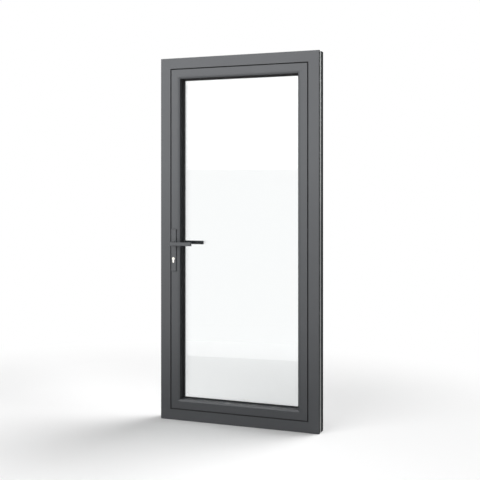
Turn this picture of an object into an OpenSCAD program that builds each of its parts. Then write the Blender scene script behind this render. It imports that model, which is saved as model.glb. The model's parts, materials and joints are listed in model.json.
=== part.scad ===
// Glazed swing door leaf in its four-sided frame, thermally broken aluminium profiles.
// Millimetres, +Z up, front face towards -Y, origin at the bottom centre of the frame.
// u runs in from the outer edge of the frame, v runs back from the front face.

/* [Opening] */
// Overall width of the frame
frame_width = 1000; // [860:10:1200]
// Overall height of the frame
frame_height = 2200; // [2000:10:2400]
// Depth of frame and leaf, front face to rear face
frame_depth = 90; // [88:1:98]

/* [Profiles] */
// Width of the frame's front face
face_width = 64; // [62:1:70]
// Width of the frame's rear face
rear_width = 42; // [41:0.5:43]
// Shadow gap between frame and leaf
gap = 6; // [5:0.5:7]
// Width of the leaf's flat front face beside the bead
leaf_face = 39; // [38:1:44]
// Depth of the front aluminium shells
front_shell = 20; // [19:0.5:22]
// Depth of the rear aluminium shells
rear_shell = 44; // [43:0.5:45]
// Wall thickness of the shells
wall = 2; // [1.6:0.1:2.2]
// Thickness of the frame's stop lip
lip = 6; // [5:0.5:7]
// Edge radius of the coated profiles
edge_r = 1; // [0.6:0.1:1.2]
// How far the insulating bars sit back from the profile sides
bar_recess = 1; // [0.8:0.1:1.2]

/* [Glazing] */
// Thickness of one pane
pane = 4; // [4:1:6]
// Space between the panes
pane_space = 16; // [12:1:16]
// Width of the glazing bead
bead_width = 17; // [16:0.5:20]
// Depth of the bead's front bevel
bead_bevel = 14; // [10:1:16]
// Flat strip of the bead beside the leaf face
bead_flat = 5; // [3:0.5:6]
// Thickness of the front glazing gasket
front_seal = 4; // [3:0.5:5]
// Thickness of the rear glazing gasket
rear_seal = 3; // [2:0.5:3.5]

/* [Handles and lock] */
// Height of the lever axis above the base
handle_height = 1073; // [1000:1:1150]
// Lever axis from the lock's faceplate
backset = 35; // [34:0.5:36]
// Lever axis to cylinder axis
cylinder_drop = 92; // [88:1:96]
// Width of the backplates
plate_width = 33; // [30:0.5:35]
// Thickness of the backplates
plate_thick = 8.5; // [8:0.5:10]
// Reach of the levers from the leaf faces
lever_reach = 60; // [56:1:64]
// Lever length from its axis
lever_length = 137; // [120:1:145]
// Height of the lever grip
lever_tall = 22; // [20:0.5:24]
// Thickness of the lever grip
lever_thick = 13; // [11:0.5:14]
// Travel of the latch under the lever
latch_travel = 7; // [6:0.5:7.5]

/* [Hinges] */
// Height of one hinge
hinge_tall = 110; // [104:2:130]
// Radius of the hinge barrels
barrel_r = 10; // [9.5:0.1:10.4]
// Radius of the hinge pins
pin_r = 5; // [4.5:0.1:5.2]
// Centre of the lowest hinge above the base
hinge_low = 250; // [250:10:330]
// Centre of the highest hinge below the top
hinge_high = 250; // [250:10:330]

/* [Hidden] */
$fn = 48;
W = frame_width;
H = frame_height;
D = frame_depth;

// section lines, u then v
u_leaf = face_width + gap;
u_in = u_leaf + leaf_face;
u_bead = u_in + bead_width;
u_pane = u_in + 5;
u_lip = rear_width + gap;
u_edge = u_lip + 5;
u_step = face_width - 7;
v_a = front_shell;
v_b = D - rear_shell;
v_lip = D - 8;
v_step = v_a - 6;
v_pane = v_lip - rear_seal - 2 * pane - pane_space;
v_bead = v_pane - front_seal;

// feet of the insulating bars
bar_thick = 2.5;
foot_deep = 2.4;
slip = 0.05;
boss = foot_deep + 1.8;

// legs of the corner cleats beyond the profile's inner side
frame_cleat_leg = 43;
leaf_cleat_leg = 60;

// lock
u_axis = u_edge + backset;
v_lock = D - 24;
z_axis = handle_height;
z_key = z_axis - cylinder_drop;
z_latch = z_axis + 23;
z_bolt = z_axis - 46;
plate_up = 88;
plate_down = cylinder_drop + 76;
plate_r = 2.5;
neck_r = 9;
run = 0.05;
bolt_thick = 12;
latch_tall = 28;
bolt_tall = 32;
latch_out = latch_travel;
bolt_throw = 20;
case_wall = 1.5;
case_low = z_key - 39;
case_top = z_axis + 49;
case_u0 = u_edge + 3;
case_u1 = u_in - 3;
case_v0 = v_lock - 8.5;
case_v1 = v_lock + 8.5;
tail_u = case_u0 + case_wall + bolt_throw + 0.6;
face_low = case_low - 26;
face_top = case_top + 26;
bolt_zs = [case_top + 17, case_low - 14];

// hinges
u_hinge = rear_width + gap / 2;
v_hinge = D + barrel_r + 1;
hinge_zs = [hinge_low, (hinge_low + H - hinge_high) / 2, H - hinge_high];
hinge_screw_zs = [-hinge_tall * 0.35, 0, hinge_tall * 0.35];
wing_thick = 4;
wing_near = barrel_r - 1;
wing_far = wing_near + 30;
wing_mid = (wing_near + wing_far) / 2 + 1;
knuckle_half = 24.7;
flange = 1.5;

// wall fixings through both jambs
fix_r = 5;
v_fix = D - 22;
fix_outer = 1880;
fix_inner = 620;
fix_mid = H / 2;
fix_zs = [fix_mid - fix_outer / 2, fix_mid - fix_inner / 2, fix_mid + fix_inner / 2, fix_mid + fix_outer / 2];

coat = "#3f4347";
polyamide = "#b9bcbc";
epdm = "#151617";
clear = [0.75, 0.86, 0.86, 0.35];
steel = "#a9adb0";
nickel = "#d6d6d2";

// Corner helpers: each point is [x, y, radius], and a radius of 0 stays sharp.
function unit(v) = v / norm(v);
function turn_of(a, b) = ((b - a + 540) % 360) - 180;
function arc_pts(o, r, a, t, n) = [for (i = [0:n]) o + r * [cos(a + t * i / n), sin(a + t * i / n)]];
function corner(c, d0, d1, r, n) =
    let (half = acos(d0 * d1) / 2)
    let (o = c + unit(d0 + d1) * (r / sin(half)))
    let (s = c + d0 * (r / tan(half)) - o)
    let (e = c + d1 * (r / tan(half)) - o)
    let (a = atan2(s[1], s[0]))
    arc_pts(o, r, a, turn_of(a, atan2(e[1], e[0])), n);
function xy(p) = [p[0], p[1]];
function at_corner(p, a, b, n) =
    p[2] > 0 ? corner(xy(p), unit(xy(a) - xy(p)), unit(xy(b) - xy(p)), p[2], n) : [xy(p)];
function soft(pts, n = 3) =
    let (k = len(pts))
    [for (i = [0:k - 1]) each at_corner(pts[i], pts[(i + k - 1) % k], pts[(i + 1) % k], n)];

module rect(u0, u1, v0, v1) {
    translate([u0, v0]) square([u1 - u0, v1 - v0]);
}

module brick(u0, u1, v0, v1, z0, z1) {
    translate([u0 - W / 2, v0 - D / 2, z0]) cube([u1 - u0, v1 - v0, z1 - z0]);
}

// Local u, v and length to the four sides of the door.
module on_left() {
    translate([-W / 2, -D / 2, 0]) children();
}

module on_right() {
    mirror([1, 0, 0]) on_left() children();
}

module on_bottom() {
    translate([W / 2, -D / 2, 0]) rotate([0, -90, 0]) children();
}

module on_top() {
    translate([0, 0, H]) mirror([0, 0, 1]) on_bottom() children();
}

// A section drawn in u and v, run to length and mitred at both ends.
module mitred(length, u0, u1) {
    intersection() {
        linear_extrude(length) children();
        translate([0, D + 20, 0]) rotate([90, 0, 0]) linear_extrude(D + 40)
            polygon([[u0, u0], [u1, u1], [u1, length - u1], [u0, length - u0]]);
    }
}

// A closed ring of rectangular section on all four sides.
module ring(u0, u1, v0, v1) {
    difference() {
        brick(u0, W - u0, v0, v1, u0, H - u0);
        brick(u1, W - u1, v0 - 1, v1 + 1, u1, H - u1);
    }
}

// Round bar along Y, from v0 to v1, on the lock side.
module rod_y(u, z, r, v0, v1) {
    translate([u - W / 2, v1 - D / 2, z]) rotate([90, 0, 0]) cylinder(h = v1 - v0, r = r);
}

// Insulating bar with half-dovetail feet; side is 1 where the bar lies towards larger u.
module bar_section(u, side, grow = 0) {
    a = 0.8 - grow;
    b = bar_thick + grow;
    c = bar_thick + 1.5 + grow;
    f = foot_deep + grow;
    polygon([
        [u, v_a], [u + side * a, v_a], [u + side * a, v_a - f], [u + side * c, v_a - f],
        [u + side * b, v_a], [u + side * b, v_b], [u + side * c, v_b + f],
        [u + side * a, v_b + f], [u + side * a, v_b], [u, v_b]
    ]);
}

module frame_bars_section(grow = 0) {
    bar_section(bar_recess, 1, grow);
    bar_section(rear_width - bar_recess, -1, grow);
}

module leaf_bars_section(grow = 0) {
    bar_section(u_step + bar_recess, 1, grow);
    bar_section(u_in - bar_recess, -1, grow);
}

module frame_front_section() {
    difference() {
        polygon(soft([
            [0, 0, edge_r], [face_width, 0, edge_r], [face_width, lip, 0.5],
            [rear_width, lip, 0], [rear_width, v_a, 0.3], [0, v_a, 0.3]
        ]));
        difference() {
            rect(wall, rear_width - wall, wall, v_a - wall);
            rect(0, 7, v_a - boss, v_a);
            rect(rear_width - 7, rear_width, v_a - boss, v_a);
        }
        rect(rear_width + wall, face_width - wall, 1.7, lip - 1.7);
        frame_bars_section(slip);
    }
}

module frame_rear_section() {
    difference() {
        polygon(soft([
            [0, v_b, 0.3], [rear_width, v_b, 0.3], [rear_width, D, edge_r], [0, D, edge_r]
        ]));
        difference() {
            rect(wall, rear_width - wall, v_b + wall, D - wall);
            rect(0, 7, v_b, v_b + boss);
            rect(rear_width - 7, rear_width, v_b, v_b + boss);
        }
        frame_bars_section(slip);
    }
}

module leaf_front_section() {
    difference() {
        polygon(soft([
            [u_leaf, 0, edge_r], [u_in, 0, 0.4], [u_in, v_a, 0.3], [u_step, v_a, 0.3],
            [u_step, v_step, 0.5], [u_leaf, v_step, 0]
        ]));
        difference() {
            rect(u_leaf + wall, u_in - wall, wall, v_a - wall);
            rect(u_in - 7, u_in, v_a - boss, v_a);
            rect(u_in - 5, u_in, 4.8, 12.2);
        }
        rect(u_in - 2.6, u_in + 1, 6.8, 10.2);
        leaf_bars_section(slip);
    }
}

module leaf_rear_section() {
    difference() {
        polygon(soft([
            [u_edge, v_b, 0.3], [u_in, v_b, 0.3], [u_in, v_lip, 0], [u_bead, v_lip, 0.5], [u_bead, D, edge_r],
            [u_lip, D, edge_r], [u_lip, v_lip, 0.5], [u_edge, v_lip, 0]
        ]));
        difference() {
            union() {
                rect(u_edge + wall, u_in - wall, v_b + wall, D - wall);
                rect(u_lip + wall, u_bead - wall, v_lip + wall, D - wall);
            }
            rect(u_edge, u_step + 7.5, v_b, v_b + boss);
            rect(u_in - 7.5, u_in, v_b, v_b + boss);
        }
        leaf_bars_section(slip);
    }
}

module bead_section() {
    difference() {
        union() {
            polygon(soft([
                [u_in + 0.25, 0, 0.4], [u_in + bead_flat, 0, 2], [u_bead, bead_bevel, 2],
                [u_bead, v_bead, 0.4], [u_in + 3, v_bead, 0.4], [u_in + 3, v_a, 0], [u_in + 0.25, v_a, 0]
            ]));
            rect(u_in - 2.3, u_in + 1, 7.1, 9.9);
        }
        polygon([
            [u_in + 2, 1.8], [u_in + bead_flat - 0.8, 1.8], [u_bead - 1.8, bead_bevel + 0.9],
            [u_bead - 1.8, v_bead - 1.8], [u_in + 4.8, v_bead - 1.8], [u_in + 4.8, v_a - 1.8], [u_in + 2, v_a - 1.8]
        ]);
    }
}

// Frame, four mitred members in two shells.
module head_front_shell() {
    color(coat) on_top() mitred(W, 0, face_width) frame_front_section();
}

module sill_front_shell() {
    color(coat) on_bottom() mitred(W, 0, face_width) frame_front_section();
}

module lock_jamb_front_shell() {
    color(coat) on_left() mitred(H, 0, face_width) frame_front_section();
}

module hinge_jamb_front_shell() {
    color(coat) on_right() mitred(H, 0, face_width) frame_front_section();
}

module head_rear_shell() {
    color(coat) on_top() mitred(W, 0, rear_width) frame_rear_section();
}

module sill_rear_shell() {
    color(coat) on_bottom() mitred(W, 0, rear_width) frame_rear_section();
}

// Round holes through a jamb's side walls for the wall fixings.
module fixing_holes() {
    for (z = fix_zs)
        translate([-1, v_fix, z]) rotate([0, 90, 0]) cylinder(h = rear_width + 2, r = fix_r);
}

module strike_windows() {
    brick(rear_width - 5, rear_width + 5, v_lock - 8, v_lock + 8,
        z_latch - latch_tall / 2 - 4, z_latch + latch_tall / 2 + 4);
    brick(rear_width - 5, rear_width + 5, v_lock - 8, v_lock + 8,
        z_bolt - bolt_tall / 2 - 4, z_bolt + bolt_tall / 2 + 4);
}

strike_low = z_bolt - bolt_tall / 2 - 30;
strike_top = z_latch + latch_tall / 2 + 20;
strike_screw_zs = [strike_low + 12, (z_latch + z_bolt) / 2, strike_top - 8];

module lock_jamb_rear_shell() {
    color(coat) difference() {
        on_left() mitred(H, 0, rear_width) frame_rear_section();
        on_left() fixing_holes();
        strike_windows();
        for (z = strike_screw_zs)
            translate([rear_width - W / 2 - 5, v_lock - D / 2, z]) rotate([0, 90, 0]) cylinder(h = 6, r = 2.1);
    }
}

module hinge_jamb_rear_shell() {
    color(coat) difference() {
        on_right() mitred(H, 0, rear_width) frame_rear_section();
        on_right() fixing_holes();
        for (z = hinge_zs) at_hinge(z) wing_holes(-1);
    }
}

module frame_insulating_bars() {
    color(polyamide) {
        on_left() mitred(H, 0, rear_width) frame_bars_section();
        on_right() mitred(H, 0, rear_width) frame_bars_section();
        on_bottom() mitred(W, 0, rear_width) frame_bars_section();
        on_top() mitred(W, 0, rear_width) frame_bars_section();
    }
}

// One L-shaped cleat in each corner of a chamber.
module cleats(u0, u1, v0, v1, leg) {
    for (sx = [0, 1]) for (sz = [0, 1])
        mirror([sx, 0, 0]) translate([0, 0, sz * H]) mirror([0, 0, sz])
            translate([-W / 2, v1 - D / 2, 0]) rotate([90, 0, 0]) linear_extrude(v1 - v0)
                polygon([[u0, u0], [leg, u0], [leg, u1], [u1, u1], [u1, leg], [u0, leg]]);
}

module frame_corner_cleats() {
    color(steel) {
        leg = rear_width + frame_cleat_leg;
        cleats(wall + 0.3, rear_width - wall - 0.3, wall + 0.3, v_a - boss - 0.3, leg);
        cleats(wall + 0.3, rear_width - wall - 0.3, v_b + boss + 0.3, D - wall - 0.3, leg);
    }
}

module strike_plate() {
    color(steel) difference() {
        brick(rear_width, rear_width + 1.5, v_lock - 13, v_lock + 13, strike_low, strike_top);
        strike_windows();
        for (z = strike_screw_zs)
            translate([rear_width - W / 2, v_lock - D / 2, z]) rotate([0, 90, 0])
                cylinder(h = 1.5, r1 = 2.1, r2 = 3.6);
    }
}

// Countersunk screw along +Z with its head's face at z = 0, pointing down.
module csk_screw(head_r, shank_r, head, length) {
    difference() {
        union() {
            translate([0, 0, -head]) cylinder(h = head, r1 = shank_r, r2 = head_r);
            translate([0, 0, -length]) cylinder(h = length - head / 2, r = shank_r);
        }
        translate([-head_r * 0.6, -0.45, -1]) cube([head_r * 1.2, 0.9, 2]);
        translate([-0.45, -head_r * 0.6, -1]) cube([0.9, head_r * 1.2, 2]);
    }
}

module strike_screws() {
    color(steel) for (z = strike_screw_zs)
        translate([rear_width + 1.45 - W / 2, v_lock - D / 2, z]) rotate([0, 90, 0]) csk_screw(3.5, 2, 1.5, 12);
}

// Hinges: local x runs from the axis towards the leaf, y to the rear.
module at_hinge(z) {
    translate([W / 2 - u_hinge, v_hinge - D / 2, z]) mirror([1, 0, 0]) children();
}

module wing_plate(side) {
    y0 = -barrel_r - 1;
    outline = soft([
        [wing_near, -hinge_tall / 2, 1], [wing_far, -hinge_tall / 2, 4],
        [wing_far, hinge_tall / 2, 4], [wing_near, hinge_tall / 2, 1]
    ]);
    mirror([side < 0 ? 1 : 0, 0, 0]) translate([0, y0 + wing_thick, 0]) rotate([90, 0, 0])
        linear_extrude(wing_thick) polygon(outline);
}

module wing_knuckle(side, z0, z1) {
    y0 = -barrel_r - 1;
    mirror([side < 0 ? 1 : 0, 0, 0]) translate([0, 0, z0]) linear_extrude(z1 - z0) union() {
        circle(barrel_r);
        polygon([
            [wing_near + 10, y0], [4, y0], [4, -5], [0, 0], [0.8 * barrel_r, 0.6 * barrel_r],
            [wing_near + 10, y0 + wing_thick]
        ]);
    }
}

module wing_holes(side) {
    for (z = hinge_screw_zs)
        translate([side * wing_mid, -barrel_r - 1 - 20, z]) rotate([-90, 0, 0]) cylinder(h = 22, r = 2.5);
}

module wing_sinks(side) {
    for (z = hinge_screw_zs)
        translate([side * wing_mid, -barrel_r - 1, z]) rotate([-90, 0, 0]) {
            translate([0, 0, -1]) cylinder(h = 6, r = 2.55);
            translate([0, 0, wing_thick - 2.5]) cylinder(h = 2.5, r1 = 2.55, r2 = 4.8);
        }
}

module frame_wing() {
    difference() {
        union() {
            wing_plate(-1);
            wing_knuckle(-1, knuckle_half + flange + 0.4, hinge_tall / 2);
            wing_knuckle(-1, -hinge_tall / 2, -knuckle_half - flange - 0.4);
        }
        translate([0, 0, -hinge_tall]) cylinder(h = 2 * hinge_tall, r = pin_r + 0.02);
        wing_sinks(-1);
    }
}

module leaf_wing() {
    difference() {
        union() {
            wing_plate(1);
            wing_knuckle(1, -knuckle_half, knuckle_half);
        }
        translate([0, 0, -hinge_tall]) cylinder(h = 2 * hinge_tall, r = pin_r + 1.52);
        wing_sinks(1);
    }
}

module hinge_frame_wing_top() {
    color(coat) at_hinge(hinge_zs[2]) frame_wing();
}

module hinge_frame_wing_middle() {
    color(coat) at_hinge(hinge_zs[1]) frame_wing();
}

module hinge_frame_wing_bottom() {
    color(coat) at_hinge(hinge_zs[0]) frame_wing();
}

module hinge_leaf_wing_top() {
    color(coat) at_hinge(hinge_zs[2]) leaf_wing();
}

module hinge_leaf_wing_middle() {
    color(coat) at_hinge(hinge_zs[1]) leaf_wing();
}

module hinge_leaf_wing_bottom() {
    color(coat) at_hinge(hinge_zs[0]) leaf_wing();
}

// Pins with a chamfered cap at each end.
module hinge_pins() {
    half = hinge_tall / 2;
    color(steel) for (z = hinge_zs) at_hinge(z) rotate_extrude() polygon([
        [0, -half - 4], [barrel_r - 2.5, -half - 4], [barrel_r - 0.5, -half - 2], [barrel_r - 0.5, -half],
        [pin_r, -half], [pin_r, half], [barrel_r - 0.5, half], [barrel_r - 0.5, half + 2],
        [barrel_r - 2.5, half + 4], [0, half + 4]
    ]);
}

// Two flanged bushes in each leaf knuckle.
module hinge_bushes() {
    color(polyamide) for (z = hinge_zs) at_hinge(z) for (s = [0, 1]) mirror([0, 0, s]) rotate_extrude() polygon([
        [pin_r + run, 4], [pin_r + 1.5, 4], [pin_r + 1.5, knuckle_half], [barrel_r - 1, knuckle_half],
        [barrel_r - 1, knuckle_half + flange], [pin_r + run, knuckle_half + flange]
    ]);
}

module wing_screws(side) {
    for (z = hinge_zs) at_hinge(z) for (zs = hinge_screw_zs)
        translate([side * wing_mid, -barrel_r - 1 + wing_thick - 0.05, zs]) rotate([-90, 0, 0])
            csk_screw(4.7, 2.45, 2.4, 18);
}

module hinge_frame_screws() {
    color(steel) wing_screws(-1);
}

module hinge_leaf_screws() {
    color(steel) wing_screws(1);
}

// Leaf, four mitred members in two shells.
module top_rail_front_shell() {
    color(coat) on_top() mitred(W, u_step, u_in) leaf_front_section();
}

module bottom_rail_front_shell() {
    color(coat) on_bottom() mitred(W, u_step, u_in) leaf_front_section();
}

module hinge_stile_front_shell() {
    color(coat) on_right() mitred(H, u_step, u_in) leaf_front_section();
}

module top_rail_rear_shell() {
    color(coat) on_top() mitred(W, u_lip, u_bead) leaf_rear_section();
}

module bottom_rail_rear_shell() {
    color(coat) on_bottom() mitred(W, u_lip, u_bead) leaf_rear_section();
}

module hinge_stile_rear_shell() {
    color(coat) difference() {
        on_right() mitred(H, u_lip, u_bead) leaf_rear_section();
        for (z = hinge_zs) at_hinge(z) wing_holes(1);
    }
}

// Profile cylinder outline, round on top with a narrow web below, grown all round.
module key_outline(grow = 0) {
    circle(8.5 + grow);
    translate([-5 - grow, -19.5]) square([10 + 2 * grow, 19.5]);
    translate([0, -19.5]) circle(5 + grow);
}

module key_prism(grow, v0, v1) {
    translate([u_axis - W / 2, v1 - D / 2, z_key]) rotate([90, 0, 0]) linear_extrude(v1 - v0) key_outline(grow);
}

// Holes through the lock stile for neck, cylinder and through-bolts.
module lock_holes(v0, v1) {
    rod_y(u_axis, z_axis, neck_r + 2, v0, v1);
    key_prism(0.8, v0, v1);
    for (z = bolt_zs) rod_y(u_axis, z, 3.2, v0, v1);
}

module lock_stile_front_shell() {
    color(coat) difference() {
        on_left() mitred(H, u_step, u_in) leaf_front_section();
        lock_holes(-1, v_a + 1);
    }
}

module lock_stile_rear_shell() {
    color(coat) difference() {
        on_left() mitred(H, u_lip, u_bead) leaf_rear_section();
        lock_holes(v_b - 1, D + 1);
        brick(u_edge - 1, case_u0 + 1, v_lock - 10.1, v_lock + 10.1, face_low - 0.1, face_top + 0.1);
    }
}

module leaf_insulating_bars() {
    color(polyamide) {
        on_left() mitred(H, u_step, u_in) leaf_bars_section();
        on_right() mitred(H, u_step, u_in) leaf_bars_section();
        on_bottom() mitred(W, u_step, u_in) leaf_bars_section();
        on_top() mitred(W, u_step, u_in) leaf_bars_section();
    }
}

module leaf_corner_cleats() {
    color(steel) {
        leg = u_in + leaf_cleat_leg;
        cleats(u_leaf + wall + 0.3, u_in - 7.3, wall + 0.3, v_a - boss - 0.3, leg);
        cleats(u_edge + wall + 0.3, u_in - wall - 0.3, v_b + boss + 0.3, D - wall - 0.3, leg);
    }
}

module bead_top() {
    color(coat) on_top() mitred(W, u_in - 3, u_bead) bead_section();
}

module bead_bottom() {
    color(coat) on_bottom() mitred(W, u_in - 3, u_bead) bead_section();
}

module bead_lock_side() {
    color(coat) on_left() mitred(H, u_in - 3, u_bead) bead_section();
}

module bead_hinge_side() {
    color(coat) on_right() mitred(H, u_in - 3, u_bead) bead_section();
}

// Stop seal on the leaf's step, closing against the back of the frame's lip.
module leaf_stop_gasket() {
    color(epdm) union() {
        ring(u_step + 1, u_leaf - 0.5, v_step - 2, v_step);
        ring(u_step + 1.5, face_width - 1.5, lip + 0.3, v_step - 2);
    }
}

// Fin on the leaf's rear lip, filling the rear gap.
module leaf_lip_gasket() {
    color(epdm) ring(rear_width + 0.6, u_lip, D - 5.5, D - 2.5);
}

module front_glazing_gasket() {
    color(epdm) union() {
        ring(u_in + 4, u_bead, v_bead, v_pane);
        ring(u_bead, u_bead + 2.5, v_bead + 1.5, v_pane);
    }
}

module rear_glazing_gasket() {
    color(epdm) ring(u_in + 4, u_bead + 1, v_lip - rear_seal, v_lip);
}

module front_pane() {
    color(clear) brick(u_pane, W - u_pane, v_pane, v_pane + pane, u_pane, H - u_pane);
}

module rear_pane() {
    color(clear) brick(u_pane, W - u_pane, v_pane + pane + pane_space, v_lip - rear_seal, u_pane, H - u_pane);
}

module pane_spacer() {
    color(epdm) ring(u_pane, u_pane + 12, v_pane + pane, v_pane + pane + pane_space);
}

// Packers between the glass and the rebate floor, two to a side.
module setting_blocks() {
    v0 = v_pane + 1;
    v1 = v_lip - rear_seal - 1;
    color(epdm) {
        for (x = [W * 0.25, W * 0.75]) {
            brick(x - 50, x + 50, v0, v1, u_in, u_pane);
            brick(x - 50, x + 50, v0, v1, H - u_pane, H - u_in);
        }
        for (z = [H * 0.15, H * 0.85]) {
            brick(u_in, u_pane, v0, v1, z - 50, z + 50);
            brick(W - u_pane, W - u_in, v0, v1, z - 50, z + 50);
        }
    }
}

// Lock: folded case, faceplate, bolts and follower.
module lock_case() {
    t = case_wall;
    color(steel) difference() {
        brick(case_u0, case_u1, case_v0, case_v1, case_low, case_top);
        brick(case_u0 + t, case_u1 - t, case_v0 + t, case_v1 - t, case_low + t, case_top - t);
        rod_y(u_axis, z_axis, 8, case_v0 - 1, case_v1 + 1);
        key_prism(0.4, case_v0 - 1, case_v1 + 1);
        bolt_slots(case_u0 - 1, case_u0 + t + 1);
        translate([case_u0 - 1 - W / 2, v_lock - D / 2, z_key - 20]) rotate([0, 90, 0]) cylinder(h = 4, r = 2.8);
    }
}

module bolt_slots(u0, u1) {
    t = bolt_thick / 2 + 0.3;
    brick(u0, u1, v_lock - t, v_lock + t, z_latch - latch_tall / 2 - 0.3, z_latch + latch_tall / 2 + 0.3);
    brick(u0, u1, v_lock - t, v_lock + t, z_bolt - bolt_tall / 2 - 0.3, z_bolt + bolt_tall / 2 + 0.3);
}

module lock_faceplate() {
    color(steel) difference() {
        translate([u_edge - W / 2, v_lock - D / 2, 0]) rotate([90, 0, 90]) linear_extrude(3)
            polygon(soft([[-10, face_low, 9], [10, face_low, 9], [10, face_top, 9], [-10, face_top, 9]], 8));
        bolt_slots(u_edge - 1, u_edge + 4);
        for (z = [face_low + 12, face_top - 12])
            translate([u_edge - W / 2, v_lock - D / 2, z]) rotate([0, 90, 0]) {
                cylinder(h = 2.4, r1 = 4.3, r2 = 2.1);
                cylinder(h = 4, r = 2.1);
            }
        translate([u_edge - W / 2, v_lock - D / 2, z_key - 20]) rotate([0, 90, 0]) {
            cylinder(h = 2.4, r1 = 4.9, r2 = 2.55);
            cylinder(h = 4, r = 2.55);
        }
    }
}

module faceplate_screws() {
    color(steel) {
        for (z = [face_low + 12, face_top - 12])
            translate([u_edge + 0.05 - W / 2, v_lock - D / 2, z]) rotate([0, -90, 0]) csk_screw(4.2, 2, 2.3, 14);
        translate([u_edge + 0.05 - W / 2, v_lock - D / 2, z_key - 20]) rotate([0, -90, 0])
            csk_screw(4.8, 2.45, 2.3, backset + 4);
    }
}

// Latch with a bevelled nose, tail above the follower and a lug for its arm.
module latch_bolt() {
    t = bolt_thick / 2;
    tip = u_edge - latch_out;
    lug = u_axis + 4.9;
    color(nickel) union() {
        translate([-W / 2, -D / 2, z_latch - latch_tall / 2]) linear_extrude(latch_tall) polygon([
            [tip, v_lock + t], [tip, v_lock + t - 3.5], [u_edge - 0.2, v_lock - t],
            [case_u0 + 12, v_lock - t], [case_u0 + 12, v_lock + t]
        ]);
        brick(case_u0 + 11, lug + 3.5, v_lock - 4, v_lock + 4, z_axis + 17, z_latch + 6);
        brick(lug, lug + 3.5, v_lock - 4, v_lock + 4, z_axis + 12.2, z_latch + 6);
    }
}

module dead_bolt() {
    t = bolt_thick / 2;
    color(nickel) union() {
        brick(u_edge, tail_u + 12, v_lock - t, v_lock + t, z_bolt - bolt_tall / 2, z_bolt + bolt_tall / 2);
        brick(tail_u, tail_u + 8, v_lock - 4, v_lock + 4, z_key + 16, z_bolt);
    }
}

module follower() {
    color(nickel) difference() {
        union() {
            rod_y(u_axis, z_axis, 7.9, case_v0 + 0.1, case_v1 - 0.1);
            rod_y(u_axis, z_axis, 11, v_lock - 6, v_lock + 6);
            brick(u_axis - 2.5, u_axis + 2.5, v_lock - 4, v_lock + 4, z_axis + 8, z_axis + 15);
        }
        brick(u_axis - 4.05, u_axis + 4.05, 0, D, z_axis - 4.05, z_axis + 4.05);
    }
}

module spindle() {
    color(steel) brick(u_axis - 4, u_axis + 4, -lever_reach + 22, D + lever_reach - 22, z_axis - 4, z_axis + 4);
}

// Backplate standing on the front face, softened on its three visible edges.
module plate_body() {
    half = plate_width / 2;
    translate([u_axis - W / 2, -D / 2, z_axis]) intersection() {
        translate([0, 0, -plate_down]) linear_extrude(plate_up + plate_down) polygon(soft([
            [-half, 0, 0], [-half, -plate_thick, plate_r], [half, -plate_thick, plate_r], [half, 0, 0]
        ], 5));
        rotate([90, 0, 0]) linear_extrude(plate_thick + 1) polygon(soft([
            [-half, -plate_down, 3], [half, -plate_down, 3], [half, plate_up, 3], [-half, plate_up, 3]
        ], 5));
        translate([-half - 1, 0, 0]) rotate([90, 0, 90]) linear_extrude(plate_width + 2) polygon(soft([
            [0, -plate_down, 0], [-plate_thick, -plate_down, plate_r], [-plate_thick, plate_up, plate_r],
            [0, plate_up, 0]
        ], 5));
    }
}

module front_backplate() {
    color(coat) difference() {
        plate_body();
        rod_y(u_axis, z_axis, neck_r + run, -plate_thick - 1, 1);
        key_prism(0.3, -plate_thick - 1, 1);
        for (z = bolt_zs) rod_y(u_axis, z, 2.55, -5.5, 1);
    }
}

module rear_backplate() {
    color(coat) difference() {
        mirror([0, 1, 0]) plate_body();
        rod_y(u_axis, z_axis, neck_r + run, D - 1, D + plate_thick + 1);
        key_prism(0.3, D - 1, D + plate_thick + 1);
        for (z = bolt_zs) {
            rod_y(u_axis, z, 2.55, D - 1, D + plate_thick + 1);
            translate([u_axis - W / 2, D / 2 + plate_thick, z]) rotate([90, 0, 0])
                cylinder(h = 2.6, r1 = 4.8, r2 = 2.55);
        }
    }
}

module backplate_bolts() {
    color(steel) for (z = bolt_zs)
        translate([u_axis - W / 2, D / 2 + plate_thick - 0.05, z]) rotate([-90, 0, 0])
            csk_screw(4.7, 2.5, 2.5, D + plate_thick + 5);
}

// Lever with a round neck, a soft elbow and a flat grip; y runs out from the leaf.
module lever_body() {
    back = lever_reach - lever_thick;
    half = lever_tall / 2;
    plan = soft([
        [-neck_r, 14, 0], [-neck_r, lever_reach, 8], [lever_length - 3, lever_reach, 2], [lever_length, back + 3, 1.5],
        [lever_length - 1, back, 1], [neck_r, back, 5], [neck_r, 14, 0]
    ], 6);
    side = soft([
        [13, -half, 0], [lever_reach, -half, 3], [lever_reach, half, 3], [13, half, 0]
    ], 5);
    difference() {
        union() {
            intersection() {
                translate([0, 0, -half]) linear_extrude(lever_tall) polygon(plan);
                translate([-40, 0, 0]) rotate([90, 0, 90]) linear_extrude(lever_length + 60) polygon(side);
            }
            translate([0, 0.5, 0]) rotate([-90, 0, 0]) cylinder(h = 16, r = neck_r);
        }
        translate([-4.05, 0, -4.05]) cube([8.1, lever_reach - 21, 8.1]);
    }
}

module front_lever() {
    color(coat) translate([u_axis - W / 2, -D / 2, z_axis]) mirror([0, 1, 0]) lever_body();
}

module rear_lever() {
    color(coat) translate([u_axis - W / 2, D / 2, z_axis]) lever_body();
}

// Profile cylinder: two bored halves on a bridge, with the cam's gap between them.
module cylinder_body() {
    color(nickel) difference() {
        key_prism(0, -plate_thick - 2.5, D + plate_thick + 2.5);
        rod_y(u_axis, z_key, 6.5 + run, -plate_thick - 4, D + plate_thick + 4);
        brick(u_axis - 20, u_axis + 20, v_lock - 5, v_lock + 5, z_key - 15.6, z_key + 20);
        translate([u_axis - 10 - W / 2, v_lock - D / 2, z_key - 20]) rotate([0, 90, 0]) cylinder(h = 20, r = 2.5);
    }
}

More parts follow.
